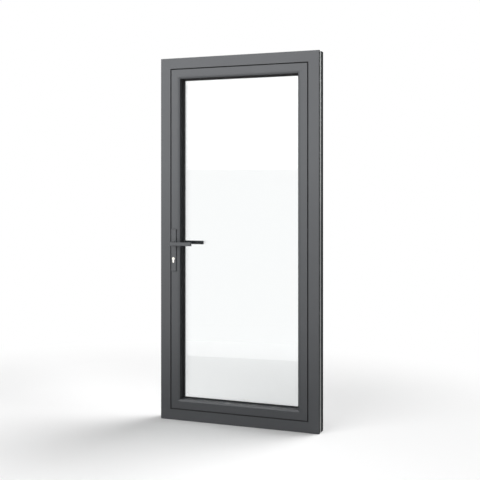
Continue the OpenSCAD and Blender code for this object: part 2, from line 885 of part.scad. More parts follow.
module keyway(v0, v1) {
    brick(u_axis - 1.1, u_axis + 1.1, v0, v1, z_key - 4.6, z_key + 3.8);
    brick(u_axis - 1.9, u_axis + 0.5, v0, v1, z_key - 1.2, z_key + 0.4);
}

// Front plug carries the cam that throws the dead bolt.
module front_plug() {
    color(nickel) difference() {
        union() {
            rod_y(u_axis, z_key, 6.5, -plate_thick - 3, v_lock + 4.7);
            rod_y(u_axis, z_key, 8.4, v_lock - 4.7, v_lock + 4.7);
            brick(u_axis - 3, u_axis + 3, v_lock - 4.7, v_lock + 4.7, z_key - 15, z_key - 5);
        }
        keyway(-plate_thick - 4, 24);
    }
}

module rear_plug() {
    color(nickel) difference() {
        rod_y(u_axis, z_key, 6.5, v_lock + 5.1, D + plate_thick + 3);
        keyway(v_lock + 9, D + plate_thick + 4);
    }
}

head_front_shell();
sill_front_shell();
lock_jamb_front_shell();
hinge_jamb_front_shell();
head_rear_shell();
sill_rear_shell();
lock_jamb_rear_shell();
hinge_jamb_rear_shell();
frame_insulating_bars();
frame_corner_cleats();
strike_plate();
strike_screws();
hinge_frame_wing_top();
hinge_frame_wing_middle();
hinge_frame_wing_bottom();
hinge_pins();
hinge_frame_screws();
top_rail_front_shell();
bottom_rail_front_shell();
lock_stile_front_shell();
hinge_stile_front_shell();
top_rail_rear_shell();
bottom_rail_rear_shell();
lock_stile_rear_shell();
hinge_stile_rear_shell();
leaf_insulating_bars();
leaf_corner_cleats();
bead_top();
bead_bottom();
bead_lock_side();
bead_hinge_side();
leaf_stop_gasket();
leaf_lip_gasket();
front_glazing_gasket();
rear_glazing_gasket();
front_pane();
rear_pane();
pane_spacer();
setting_blocks();
hinge_leaf_wing_top();
hinge_leaf_wing_middle();
hinge_leaf_wing_bottom();
hinge_bushes();
hinge_leaf_screws();
lock_case();
lock_faceplate();
faceplate_screws();
front_backplate();
rear_backplate();
backplate_bolts();
cylinder_body();
front_lever();
rear_lever();
spindle();
follower();
latch_bolt();
dead_bolt();
front_plug();
rear_plug();
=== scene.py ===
import json
import math

import bmesh
import bpy
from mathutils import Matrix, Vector


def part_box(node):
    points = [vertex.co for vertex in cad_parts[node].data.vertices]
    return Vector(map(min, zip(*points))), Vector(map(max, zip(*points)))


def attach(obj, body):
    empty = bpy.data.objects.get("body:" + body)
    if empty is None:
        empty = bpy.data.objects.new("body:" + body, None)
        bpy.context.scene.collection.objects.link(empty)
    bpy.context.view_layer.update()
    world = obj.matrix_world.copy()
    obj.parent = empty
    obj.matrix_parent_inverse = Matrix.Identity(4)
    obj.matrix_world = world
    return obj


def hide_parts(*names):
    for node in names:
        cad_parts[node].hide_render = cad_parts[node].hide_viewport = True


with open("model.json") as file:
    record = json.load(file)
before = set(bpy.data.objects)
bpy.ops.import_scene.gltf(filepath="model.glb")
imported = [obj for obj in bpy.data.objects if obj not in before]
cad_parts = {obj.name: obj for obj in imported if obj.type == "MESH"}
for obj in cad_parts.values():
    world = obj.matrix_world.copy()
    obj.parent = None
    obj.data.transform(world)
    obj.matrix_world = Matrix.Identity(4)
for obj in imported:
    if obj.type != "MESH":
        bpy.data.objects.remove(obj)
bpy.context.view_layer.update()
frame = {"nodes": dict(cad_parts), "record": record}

scene = bpy.context.scene
scene.view_settings.view_transform = "Standard"
nodes = frame["nodes"]
mm = 0.001

# Main lines of the door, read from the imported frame, in metres
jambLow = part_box("lock_jamb_front_shell")[0]
halfWidth = -jambLow.x
frontY = jambLow.y
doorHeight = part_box("head_front_shell")[1].z
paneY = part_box("front_pane")[0].y
print("frame loaded:", len(nodes), "nodes, door", round(2 * halfWidth, 3), "x", round(doorHeight, 3), "m")

# Camera: level, a little right of the door, with a drop shift that keeps the uprights upright
eye = {
    "place": (1.825, -4.858, 1.394),  # metres, 1.39 m is the height of the horizon
    "turn": 20.59,                    # degrees to the left of straight ahead
    "lens": 65.18,                    # mm on a 36 mm sensor
    "shiftY": -0.1027,
}
camera = bpy.data.objects.new("camera", bpy.data.cameras.new("camera"))
camera.data.lens = eye["lens"]
camera.data.sensor_width = 36
camera.data.shift_y = eye["shiftY"]
camera.location = eye["place"]
camera.rotation_euler = (math.radians(90), 0, math.radians(eye["turn"]))
scene.collection.objects.link(camera)
scene.camera = camera
print("camera set")


# Colours are written as sRGB hex and turned to linear here
def toLinear(hexColour):
    values = [int(hexColour[i:i + 2], 16) / 255 for i in (1, 3, 5)]
    return (*[v / 12.92 if v <= 0.04045 else ((v + 0.055) / 1.055) ** 2.4 for v in values], 1.0)


# Adds one node; an input is a plain value or another node's output socket
def addNode(tree, kind, inputs=None, **settings):
    node = tree.nodes.new(kind)
    for name, value in settings.items():
        setattr(node, name, value)
    for name, value in (inputs or {}).items():
        if isinstance(value, bpy.types.NodeSocket):
            tree.links.new(value, node.inputs[name])
        else:
            node.inputs[name].default_value = value
    return node


# An empty material with its output, and the place on the part in metres
def startMaterial(name):
    material = bpy.data.materials.new(name)
    material.use_nodes = True
    tree = material.node_tree
    tree.nodes.clear()
    output = addNode(tree, "ShaderNodeOutputMaterial")
    place = addNode(tree, "ShaderNodeTexCoord").outputs["Object"]
    return material, tree, output.inputs["Surface"], place


def perMetre(sizeMm):
    return 1000 / sizeMm  # texture scale for a feature of that size


noiseLow, noiseHigh = 0.3, 0.7  # most of what a noise texture gives lies between these


# Polyester powder coat, sprayed dry and baked on aluminium: an even satin grey with a fine pebble
# that only shows close up, a slow cloudiness, a hairline where two mitred profiles meet, and painted
# shade, darker and rougher, in the leaf's gap, in the glazing rebate and on the faces that meet the wall
powderCoat = {
    "colour": "#3e4043",
    "thick": "#3a3c3f",      # where the coat lies thicker
    "grain": 0.9,            # mm between pebbles, about twice the real size so that it shows
    "grainHeight": 0.03,     # mm
    "cloud": 140,            # mm across the slow changes
    "roughness": (0.42, 0.52),
    "mitre": 0.22,           # mm, width of the hairline
    "mitreColour": "#1c1d1e",
    "paintedShade": "#1a1b1c",      # painted shade in the leaf's gap and the glazing rebate
    "gap": (63.2, 70.8, 0.2),   # mm in from the edge, from and to, and how far behind the face it starts
    "rebate": (125.3, 4),       # mm in from the edge, and behind the face; the bottom rail gets no painted shade
    "foot": 0.5,                # mm nearer to the bottom than to the sides, where the bottom rail without painted shade ends
    "outer": ("#131415", 0.4),  # painted shade: a darker colour on the faces that meet the wall, mm deep
    "shadeRoughness": 0.92,      # rougher where shade is painted, so that it reflects less
}


def makePowderCoat(name, look):
    material, tree, surface, place = startMaterial(name)
    pebble = addNode(tree, "ShaderNodeTexNoise", {
        "Vector": place, "Scale": perMetre(look["grain"]), "Detail": 2.0, "Roughness": 0.55})
    cloud = addNode(tree, "ShaderNodeTexNoise", {
        "Vector": place, "Scale": perMetre(look["cloud"]), "Detail": 3.0, "Roughness": 0.5})
    tone = addNode(tree, "ShaderNodeMix", {
        "Factor": cloud.outputs["Fac"], "A": toLinear(look["colour"]), "B": toLinear(look["thick"])},
        data_type="RGBA")
    colour = tone.outputs[2]
    if look.get("mitre"):
        # the hairline lies where the way in from the side equals the way in from top or bottom
        axes = addNode(tree, "ShaderNodeSeparateXYZ", {"Vector": place})
        side = addNode(tree, "ShaderNodeMath", {0: axes.outputs["X"]}, operation="ABSOLUTE")
        inward = addNode(tree, "ShaderNodeMath", {0: halfWidth, 1: side.outputs[0]}, operation="SUBTRACT")
        fromTop = addNode(tree, "ShaderNodeMath", {
            0: doorHeight, 1: axes.outputs["Z"]}, operation="SUBTRACT")
        upward = addNode(tree, "ShaderNodeMath", {
            0: axes.outputs["Z"], 1: fromTop.outputs[0]}, operation="MINIMUM")
        off = addNode(tree, "ShaderNodeMath", {
            0: inward.outputs[0], 1: upward.outputs[0]}, operation="SUBTRACT")
        reach = addNode(tree, "ShaderNodeMath", {0: off.outputs[0]}, operation="ABSOLUTE")
        hair = look["mitre"] * mm
        line = addNode(tree, "ShaderNodeMapRange", {
            "Value": reach.outputs[0], "From Min": 0.3 * hair, "From Max": 0.7 * hair,
            "To Min": 1.0, "To Max": 0.0})
        seam = addNode(tree, "ShaderNodeMix", {
            "Factor": line.outputs["Result"], "A": colour, "B": toLinear(look["mitreColour"])},
            data_type="RGBA")
        # depth in from the nearest outer edge, and back from the front face
        depth = addNode(tree, "ShaderNodeMath", {
            0: inward.outputs[0], 1: upward.outputs[0]}, operation="MINIMUM")
        # painted shade: a darker colour in the leaf's gap and in the glazing rebate, bottom rail left out
        gapFrom, gapTo, gapBehind = look["gap"]
        gapMiddle, gapHalf = (gapFrom + gapTo) / 2, (gapTo - gapFrom) / 2
        inGap = addNode(tree, "ShaderNodeMath", {
            0: depth.outputs[0], 1: gapMiddle * mm, 2: gapHalf * mm}, operation="COMPARE")
        gapBack = addNode(tree, "ShaderNodeMath", {
            0: axes.outputs["Y"], 1: frontY + gapBehind * mm}, operation="GREATER_THAN")
        inGap = addNode(tree, "ShaderNodeMath", {
            0: inGap.outputs[0], 1: gapBack.outputs[0]}, operation="MULTIPLY")
        inRebate = addNode(tree, "ShaderNodeMath", {
            0: depth.outputs[0], 1: look["rebate"][0] * mm}, operation="GREATER_THAN")
        rebateBack = addNode(tree, "ShaderNodeMath", {
            0: axes.outputs["Y"], 1: frontY + look["rebate"][1] * mm}, operation="GREATER_THAN")
        inRebate = addNode(tree, "ShaderNodeMath", {
            0: inRebate.outputs[0], 1: rebateBack.outputs[0]}, operation="MULTIPLY")
        overFoot = addNode(tree, "ShaderNodeMath", {
            0: axes.outputs["Z"], 1: depth.outputs[0]}, operation="SUBTRACT")
        aboveFoot = addNode(tree, "ShaderNodeMath", {
            0: overFoot.outputs[0], 1: look["foot"] * mm}, operation="GREATER_THAN")
        inRebate = addNode(tree, "ShaderNodeMath", {
            0: inRebate.outputs[0], 1: aboveFoot.outputs[0]}, operation="MULTIPLY")
        shade = addNode(tree, "ShaderNodeMath", {
            0: inGap.outputs[0], 1: inRebate.outputs[0]}, operation="MAXIMUM")
        shadedTone = addNode(tree, "ShaderNodeMix", {
            "Factor": shade.outputs[0], "A": seam.outputs[2], "B": toLinear(look["paintedShade"])}, data_type="RGBA")
        # painted shade: a darker colour on the faces that meet the wall
        outside = addNode(tree, "ShaderNodeMath", {
            0: depth.outputs[0], 1: look["outer"][1] * mm}, operation="LESS_THAN")
        thin = addNode(tree, "ShaderNodeMix", {
            "Factor": outside.outputs[0], "A": shadedTone.outputs[2], "B": toLinear(look["outer"][0])},
            data_type="RGBA")
        colour = thin.outputs[2]
        dull = addNode(tree, "ShaderNodeMath", {
            0: shade.outputs[0], 1: outside.outputs[0]}, operation="MAXIMUM")
    sheen = addNode(tree, "ShaderNodeMapRange", {
        "Value": pebble.outputs["Fac"], "From Min": noiseLow, "From Max": noiseHigh,
        "To Min": look["roughness"][0], "To Max": look["roughness"][1]})
    roughness = sheen.outputs["Result"]
    # rougher where shade is painted, so that it reflects less light
    if look.get("mitre"):
        matt = addNode(tree, "ShaderNodeMix", {0: dull.outputs[0], 2: roughness, 3: look["shadeRoughness"]})
        roughness = matt.outputs[0]
    bump = addNode(tree, "ShaderNodeBump", {
        "Height": pebble.outputs["Fac"], "Strength": 0.5, "Distance": look["grainHeight"] * mm})
    shader = addNode(tree, "ShaderNodeBsdfPrincipled", {
        "Base Color": colour, "Roughness": roughness, "Normal": bump.outputs["Normal"], "IOR": 1.5})
    tree.links.new(shader.outputs[0], surface)
    return material


# Satin powder coat on cast fittings: the same grey, finer and a little smoother than the profiles
fittingCoat = {
    "colour": "#3e4043",
    "thick": "#3a3c3f",
    "grain": 0.7,            # mm, also about twice the real size
    "grainHeight": 0.018,
    "cloud": 60,
    "roughness": (0.36, 0.44),
}

# Glass-filled polyamide, extruded: matt pale grey with short fibres that lie along the pull
polyamide = {
    "colour": "#989a9a",
    "fibre": "#848787",
    "fibreWidth": 0.6,    # mm, far coarser than a real fibre so that it shows
    "fibreLength": 6,     # mm, along the uprights
    "fibreHeight": 0.01,  # mm
    "roughness": 0.62,
}


def makePolyamide(name, look):
    material, tree, surface, place = startMaterial(name)
    stretch = (perMetre(look["fibreWidth"]), perMetre(look["fibreWidth"]), perMetre(look["fibreLength"]))
    laid = addNode(tree, "ShaderNodeMapping", {"Vector": place, "Scale": stretch})
    fibres = addNode(tree, "ShaderNodeTexNoise", {"Vector": laid.outputs[0], "Scale": 1.0, "Detail": 2.0})
    share = addNode(tree, "ShaderNodeMapRange", {
        "Value": fibres.outputs["Fac"], "From Min": 0.45, "From Max": 0.7})
    colour = addNode(tree, "ShaderNodeMix", {
        "Factor": share.outputs["Result"], "A": toLinear(look["colour"]), "B": toLinear(look["fibre"])},
        data_type="RGBA")
    bump = addNode(tree, "ShaderNodeBump", {
        "Height": fibres.outputs["Fac"], "Strength": 0.3, "Distance": look["fibreHeight"] * mm})
    shader = addNode(tree, "ShaderNodeBsdfPrincipled", {
        "Base Color": colour.outputs[2], "Roughness": look["roughness"], "Normal": bump.outputs["Normal"]})
    tree.links.new(shader.outputs[0], surface)
    return material


# EPDM rubber, extruded and cured: near black, dull, with a faint grey bloom and a fine skin
rubber = {
    "colour": "#101112",
    "bloom": "#1b1c1d",
    "bloomSize": 18,     # mm
    "skin": 0.5,         # mm, drawn about three times too coarse so that it shows
    "skinHeight": 0.02,  # mm
    "roughness": 0.68,
}
# Warm-edge spacer bar and packers, moulded: black, slightly glossier than the rubber
mouldedBlack = {
    "colour": "#0e0f10",
    "bloom": "#17181a",
    "bloomSize": 30,
    "skin": 0.8,         # mm, a mould's grain drawn about five times too coarse
    "skinHeight": 0.02,
    "roughness": 0.5,
}
# Acetal bush, turned: milky white and waxy
acetal = {
    "colour": "#d9d8d2",
    "bloom": "#cfcec7",
    "bloomSize": 8,
    "skin": 0.4,         # mm, about three times a real tool mark
    "skinHeight": 0.02,
    "roughness": 0.38,
}


def makeMoulded(name, look):
    material, tree, surface, place = startMaterial(name)
    patch = addNode(tree, "ShaderNodeTexNoise", {
        "Vector": place, "Scale": perMetre(look["bloomSize"]), "Detail": 3.0})
    skin = addNode(tree, "ShaderNodeTexNoise", {
        "Vector": place, "Scale": perMetre(look["skin"]), "Detail": 1.0})
    colour = addNode(tree, "ShaderNodeMix", {
        "Factor": patch.outputs["Fac"], "A": toLinear(look["colour"]), "B": toLinear(look["bloom"])},
        data_type="RGBA")
    bump = addNode(tree, "ShaderNodeBump", {
        "Height": skin.outputs["Fac"], "Strength": 0.35, "Distance": look["skinHeight"] * mm})
    shader = addNode(tree, "ShaderNodeBsdfPrincipled", {
        "Base Color": colour.outputs[2], "Roughness": look["roughness"], "Normal": bump.outputs["Normal"]})
    tree.links.new(shader.outputs[0], surface)
    return material


# The metals' lines are some 3 to 5 times as wide as real ones so that they show close up
# Zinc-plated steel, stamped: cool grey with a soft spangle and rolling lines along its length
zincSteel = {
    "colour": "#b4b8bb",
    "dull": "#989da1",
    "line": 0.35,         # mm across
    "run": 40,            # mm along
    "lineHeight": 0.006,  # mm
    "roughness": (0.26, 0.42),
}
# Nickel plate on brass, turned and satin brushed: warm bright silver with fine lines
nickelPlate = {
    "colour": "#d9d6cf",
    "dull": "#c4c1b9",
    "line": 0.25,
    "run": 12,
    "lineHeight": 0.006,
    "roughness": (0.2, 0.32),
}
# Mill-finish aluminium, sawn from extruded bar: pale grey with drawing lines
millAluminium = {
    "colour": "#c9cbcd",
    "dull": "#aeb1b4",
    "line": 0.5,
    "run": 60,
    "lineHeight": 0.006,
    "roughness": (0.32, 0.46),
}


def makeMetal(name, look):
    material, tree, surface, place = startMaterial(name)
    stretch = (perMetre(look["line"]), perMetre(look["line"]), perMetre(look["run"]))
    drawn = addNode(tree, "ShaderNodeMapping", {"Vector": place, "Scale": stretch})
    lines = addNode(tree, "ShaderNodeTexNoise", {"Vector": drawn.outputs[0], "Scale": 1.0, "Detail": 3.0})
    colour = addNode(tree, "ShaderNodeMix", {
        "Factor": lines.outputs["Fac"], "A": toLinear(look["colour"]), "B": toLinear(look["dull"])},
        data_type="RGBA")
    gloss = addNode(tree, "ShaderNodeMapRange", {
        "Value": lines.outputs["Fac"], "From Min": noiseLow, "From Max": noiseHigh,
        "To Min": look["roughness"][0], "To Max": look["roughness"][1]})
    bump = addNode(tree, "ShaderNodeBump", {
        "Height": lines.outputs["Fac"], "Strength": 0.25, "Distance": look["lineHeight"] * mm})
    shader = addNode(tree, "ShaderNodeBsdfPrincipled", {
        "Base Color": colour.outputs[2], "Metallic": 1.0, "Roughness": gloss.outputs["Result"],
        "Normal": bump.outputs["Normal"]})
    tree.links.new(shader.outputs[0], surface)
    return material


# Float glass: clear with a light neutral grey, mirror smooth; lamps shine through it
floatGlass = {
    "tint": "#f9fafa",
    "shade": "#b4b6b5",  # how much of a lamp's light passes each face
    "ior": 1.52,
}


def makeGlass(name, look):
    material, tree, surface = startMaterial(name)[:3]
    shader = addNode(tree, "ShaderNodeBsdfPrincipled", {
        "Base Color": toLinear(look["tint"]), "Roughness": 0.0, "IOR": look["ior"],
        "Transmission Weight": 1.0})
    clear = addNode(tree, "ShaderNodeBsdfTransparent", {"Color": toLinear(look["shade"])})
    path = addNode(tree, "ShaderNodeLightPath")
    mixed = addNode(tree, "ShaderNodeMixShader", {
        0: path.outputs["Is Shadow Ray"], 1: shader.outputs[0], 2: clear.outputs[0]})
    tree.links.new(mixed.outputs[0], surface)
    return material


finishes = {
    "coated_profile": makePowderCoat("powder_coat_satin", powderCoat),
    "coated_hardware": makePowderCoat("powder_coat_fittings", fittingCoat),
    "insulating_bar": makePolyamide("polyamide_extruded", polyamide),
    "cleat_aluminium": makeMetal("aluminium_mill_finish", millAluminium),
    "seal_rubber": makeMoulded("epdm_extruded", rubber),
    "pane_glass": makeGlass("float_glass", floatGlass),
    "spacer_plastic": makeMoulded("warm_edge_moulded", mouldedBlack),
    "block_plastic": makeMoulded("packer_moulded", mouldedBlack),
    "bush_plastic": makeMoulded("acetal_turned", acetal),
    "lock_steel": makeMetal("steel_zinc_plated", zincSteel),
    "nickel": makeMetal("nickel_brushed", nickelPlate),
}
slotOf = {p["node"]: p["material_slot"] for p in frame["record"]["subparts"]}
for name, piece in nodes.items():
    piece.data.materials.clear()
    piece.data.materials.append(finishes[slotOf[name]])
print("finishes:", len(finishes))


# Rows of points, each joined to the next; a ring also joins its last to its first, a length gets two ends
def bandPiece(name, rows, slot, body, ring=True):
    count, last = len(rows[0]), len(rows) - 1
    faces = []
    for k in range(len(rows) if ring else last):
        here, there = k * count, (k + 1) % len(rows) * count
        for i in range(count):
            j = (i + 1) % count
            faces.append((here + i, here + j, there + j, there + i))
    if not ring:
        faces += [tuple(range(count)), tuple(range(last * count, (last + 1) * count))]
    mesh = bpy.data.meshes.new(name)
    mesh.from_pydata([point for row in rows for point in row], [], faces)
    shell = bmesh.new()
    shell.from_mesh(mesh)
    bmesh.ops.recalc_face_normals(shell, faces=shell.faces)
    shell.to_mesh(mesh)
    shell.free()
    for face in mesh.polygons:
        face.use_smooth = True
    mesh.set_sharp_from_angle(angle=math.radians(35))
    piece = bpy.data.objects.new(name, mesh)
    scene.collection.objects.link(piece)
    mesh.materials.append(finishes[slot])
    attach(piece, body)
    return piece


def arc(centre, radius, start, end, steps=6):
    angles = [math.radians(start + (end - start) * i / steps) for i in range(steps + 1)]
    return [(centre[0] + radius * math.cos(a), centre[1] + radius * math.sin(a)) for a in angles]


# An outline in mm, u in from the frame's outer edge and v back from its front face, set at the four mitres
def cornerRows(outline):
    rows = []
    for sideX, atTop in ((-1, False), (1, False), (1, True), (-1, True)):
        rows.append([(sideX * (halfWidth - u * mm), frontY + v * mm,
            doorHeight - u * mm if atTop else u * mm) for u, v in outline])
    return rows


# Glazing beads: flush with the leaf, then a slow fall to a rounded nose and a straight wall back to the seal
bead = {
    "start": 109.25,            # mm in from the frame's edge, a hairline from the leaf
    "corner": 0.4,              # mm, rounding there
    "flat": 114,                # mm in, where the fall begins
    "soft": 6,                  # mm, radius into the fall
    "tilt": 25,                 # degrees
    "wall": 126.7,              # mm in, the wall beside the glass
    "nose": 1.2,                # mm, radius at the top of the wall
    "back": 51,                 # mm behind the face, at the seal
    "foot": (112, 20),          # mm in and behind, the step under the leaf's face
    "clip": (106.7, 7.1, 9.9),  # mm in, then behind from and to
}
tilt = math.radians(bead["tilt"])
fallFrom = (bead["flat"] + bead["soft"] * math.sin(tilt), bead["soft"] * (1 - math.cos(tilt)))
noseU = bead["wall"] - bead["nose"]
fallLength = (noseU - fallFrom[0] + bead["nose"] * math.sin(tilt)) / math.cos(tilt)
noseV = fallFrom[1] + fallLength * math.sin(tilt) + bead["nose"] * math.cos(tilt)
beadOutline = arc((bead["start"] + bead["corner"], bead["corner"]), bead["corner"], 180, 270, 4)
beadOutline += [(bead["start"] + 2 * bead["corner"], 0)]
beadOutline += arc((bead["flat"], bead["soft"]), bead["soft"], -90, bead["tilt"] - 90, 5)
beadOutline += arc((noseU, noseV), bead["nose"], bead["tilt"] - 90, 0, 6)
footIn, footBack = bead["foot"]
beadOutline += [(bead["wall"], bead["back"]), (footIn, bead["back"])]
beadOutline += [(footIn, footBack), (bead["start"], footBack)]
clipIn, clipFront, clipBack = bead["clip"]
beadOutline += [(bead["start"], clipBack), (clipIn, clipBack), (clipIn, clipFront), (bead["start"], clipFront)]
beadRows = cornerRows(beadOutline)
for k, side in enumerate(("bottom", "hinge_side", "top", "lock_side")):
    ends = [beadRows[k], beadRows[(k + 1) % 4]]
    piece = bandPiece("bead_face_" + side, ends, "coated_profile", "leaf", ring=False)
    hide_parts("bead_" + side)
print("beads: 4")


# Gaskets run round all four sides; their sizes are mm in from the frame's edge or behind its face
def sealPiece(name, outline, replaced):
    piece = bandPiece(name, cornerRows(outline), "seal_rubber", "leaf")
    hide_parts(replaced)
    return piece


# Stop gasket in the front gap: a flat flange with a bulb that the frame presses
stopSeal = {
    "flange": (58, 69.5), "back": 14, "top": 12, "edgeR": 0.7,
    "bulb": (60.5, 8.45), "bulbR": 2.1, "neck": 1.4,
}
s = stopSeal
stopOutline = [(s["flange"][0], s["back"]), (s["flange"][1], s["back"])]
stopOutline += arc((s["flange"][1] - s["edgeR"], s["top"] + s["edgeR"]), s["edgeR"], 0, -90, 4)
stopOutline += [(s["bulb"][0] + s["neck"], s["top"])]
stopOutline += arc(s["bulb"], s["bulbR"], 40, -220, 14)
stopOutline += [(s["bulb"][0] - s["neck"], s["top"]), (s["flange"][0], s["top"])]

# Fin gasket in the rear gap: a thin tongue that tapers to its tip
lipSeal = {
    "root": 48, "tip": 42.95, "tipR": 0.35, "rear": 87.4, "front": 84.6,
    "thick": 1.6, "thin": 3.4,  # mm out from the root, where the taper starts and is steep
}
s = lipSeal
lipOutline = [(s["root"], s["front"]), (s["root"], s["rear"]), (s["root"] - s["thick"], s["rear"] - 0.1)]
lipOutline += [(s["root"] - s["thin"], s["rear"] - 0.7)]
lipOutline += arc((s["tip"], s["rear"] - 1.5), s["tipR"], 70, 270, 6)
lipOutline += [(s["root"] - s["thin"], s["front"] + 0.5), (s["root"] - s["thick"], s["front"] + 0.1)]

# Front glazing gasket: held behind the bead, with a lip that stands on the pane
glassSeal = {"buried": 113, "bead": 126.9, "nose": 135, "noseR": 2, "front": 51, "lip": 48, "pane": 55}
s = glassSeal
glassOutline = [(s["buried"], s["pane"]), (s["buried"], s["front"]), (s["bead"], s["front"])]
glassOutline += [(s["bead"] + 0.4, s["lip"] + 1.2)]
glassOutline += arc((s["nose"] - s["noseR"], s["lip"] + s["noseR"]), s["noseR"], -100, 0, 7)
glassOutline += [(s["nose"], s["pane"])]

# Rear glazing gasket: a low strip with one rounded edge
backSeal = {"buried": 113, "nose": 127, "noseR": 1.2, "pane": 79, "back": 82}
s = backSeal
backOutline = [(s["buried"], s["back"]), (s["buried"], s["pane"]), (s["nose"], s["pane"])]
backOutline += arc((s["nose"] - s["noseR"], s["pane"] + 1.3), s["noseR"], 0, 80, 5)
backOutline += [(s["nose"] - 1, s["back"])]

seals = [
    sealPiece("stop_seal", stopOutline, "leaf_stop_gasket"),
    sealPiece("lip_seal", lipOutline, "leaf_lip_gasket"),
    sealPiece("glass_seal_front", glassOutline, "front_glazing_gasket"),
    sealPiece("glass_seal_rear", backOutline, "rear_glazing_gasket"),
]
print("gaskets:", len(seals))

# Guide ring round each lever's neck, a thin black collar on the backplate
guideRing = {
    "inner": 9.1, "outer": 11.2, "proud": 1.3, "round": 0.45,  # mm
    "axis": (-412, 1073),                                      # mm across and up
    "steps": 48,
}
g = guideRing
ringOutline = [(g["inner"], 0), (g["outer"], 0)]
ringOutline += arc((g["outer"] - g["round"], g["proud"] - g["round"]), g["round"], 0, 90, 4)
ringOutline += arc((g["inner"] + g["round"], g["proud"] - g["round"]), g["round"], 90, 180, 4)
plateFaces = {
    "neck_ring_front": (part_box("front_backplate")[0].y, -1),
    "neck_ring_rear": (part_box("rear_backplate")[1].y, 1),
}
for name, (faceY, outward) in plateFaces.items():
    rows = []
    for k in range(g["steps"]):
        turned = 2 * math.pi * k / g["steps"]
        rows.append([((g["axis"][0] + r * math.cos(turned)) * mm, faceY + outward * out * mm,
            (g["axis"][1] + r * math.sin(turned)) * mm) for r, out in ringOutline])
    bandPiece(name, rows, "spacer_plastic", "leaf")
print("neck rings:", len(plateFaces))

# Floor: a pale matt sheet that keeps the door's shadow and runs out to plain white
floorLook = {
    "size": 60,                    # metres
    "colour": "#f6f6f6",
    "near": "#ebebeb",             # painted shade: a little greyer at the near left, as if farther from the lights
    "nearReach": (-1.7, -0.6),     # metres, x and y added, from the one tone to the other
    "bounce": "#bcbcbc",           # what it gives back to the door as soft light
    "drop": 0.0005,                # metres, just clear of the sill
    "shadowAt": (-0.5, -0.5, 0),   # metres, middle of the part that keeps the shadow
    "shadowReach": (1.5, 3.2),     # metres from there, where the white begins and is full
}
half = floorLook["size"] / 2
floorMesh = bpy.data.meshes.new("floor")
floorCorners = [(-half, -half, 0), (half, -half, 0), (half, half, 0), (-half, half, 0)]
floorMesh.from_pydata(floorCorners, [], [(0, 1, 2, 3)])
floor = bpy.data.objects.new("floor", floorMesh)
floor.location.z = -floorLook["drop"]
scene.collection.objects.link(floor)
material, tree, surface, place = startMaterial("floor_pale")
path = addNode(tree, "ShaderNodeLightPath")
# painted shade: the floor's colour turns greyer towards the near left
slant = addNode(tree, "ShaderNodeVectorMath", {0: place, 1: (1, 1, 0)}, operation="DOT_PRODUCT")
farther = addNode(tree, "ShaderNodeMapRange", {
    "Value": slant.outputs["Value"],
    "From Min": floorLook["nearReach"][0], "From Max": floorLook["nearReach"][1]},
    interpolation_type="SMOOTHSTEP")
tone = addNode(tree, "ShaderNodeMix", {
    "Factor": farther.outputs["Result"], "A": toLinear(floorLook["near"]), "B": toLinear(floorLook["colour"])},
    data_type="RGBA")
pale = addNode(tree, "ShaderNodeMix", {
    "Factor": path.outputs["Is Diffuse Ray"], "A": tone.outputs[2], "B": toLinear(floorLook["bounce"])},
    data_type="RGBA")
matt = addNode(tree, "ShaderNodeBsdfDiffuse", {"Color": pale.outputs[2]})
white = addNode(tree, "ShaderNodeEmission", {"Color": (1, 1, 1, 1), "Strength": 1.0})
away = addNode(tree, "ShaderNodeVectorMath", {0: place, 1: floorLook["shadowAt"]}, operation="DISTANCE")
faded = addNode(tree, "ShaderNodeMapRange", {
    "Value": away.outputs["Value"],
    "From Min": floorLook["shadowReach"][0], "From Max": floorLook["shadowReach"][1]},
    interpolation_type="SMOOTHSTEP")
blended = addNode(tree, "ShaderNodeMixShader", {
    0: faded.outputs["Result"], 1: matt.outputs[0], 2: white.outputs[0]})
tree.links.new(blended.outputs[0], surface)
floorMesh.materials.append(material)

# World: white to the eye and in reflections, a plain grey level for soft light
worldLook = {"seen": 1.0, "light": 0.27}
world = bpy.data.worlds.new("studio")
scene.world = world
world.use_nodes = True
tree = world.node_tree
tree.nodes.clear()
path = addNode(tree, "ShaderNodeLightPath")
seen = addNode(tree, "ShaderNodeMath", {0: path.outputs["Is Camera Ray"], 1: path.outputs["Is Glossy Ray"]},
    operation="MAXIMUM")
seen = addNode(tree, "ShaderNodeMath", {0: seen.outputs[0], 1: path.outputs["Is Transmission Ray"]},
    operation="MAXIMUM")
level = addNode(tree, "ShaderNodeMapRange", {
    "Value": seen.outputs[0], "To Min": worldLook["light"], "To Max": worldLook["seen"]})
sky = addNode(tree, "ShaderNodeBackground", {"Color": (1, 1, 1, 1), "Strength": level.outputs["Result"]})
addNode(tree, "ShaderNodeOutputWorld", {"Surface": sky.outputs[0]})

# The eye's mirror image behind the glass: what it sees is what the glass reflects
mirrorEye = Vector((eye["place"][0], 2 * paneY - eye["place"][1], eye["place"][2]))
turn = math.radians(eye["turn"])
mirrorAhead = Vector((-math.sin(turn), -math.cos(turn), 0))
mirrorRight = Vector((math.cos(turn), -math.sin(turn), 0))


# A softbox: power is worked out from how bright its face is, 1 being white
def softbox(name, centre, aim, size, bright):
    lamp = bpy.data.lights.new(name, "AREA")
    lamp.shape = "RECTANGLE"
    lamp.size, lamp.size_y = size
    lamp.energy = bright * math.pi * size[0] * size[1]
    box = bpy.data.objects.new(name, lamp)
    box.location = centre
    box.rotation_euler = (Vector(aim) - Vector(centre)).to_track_quat("-Z", "Y").to_euler()
    box.visible_camera = False
    box.visible_transmission = False
    box.visible_glossy = False
    scene.collection.objects.link(box)


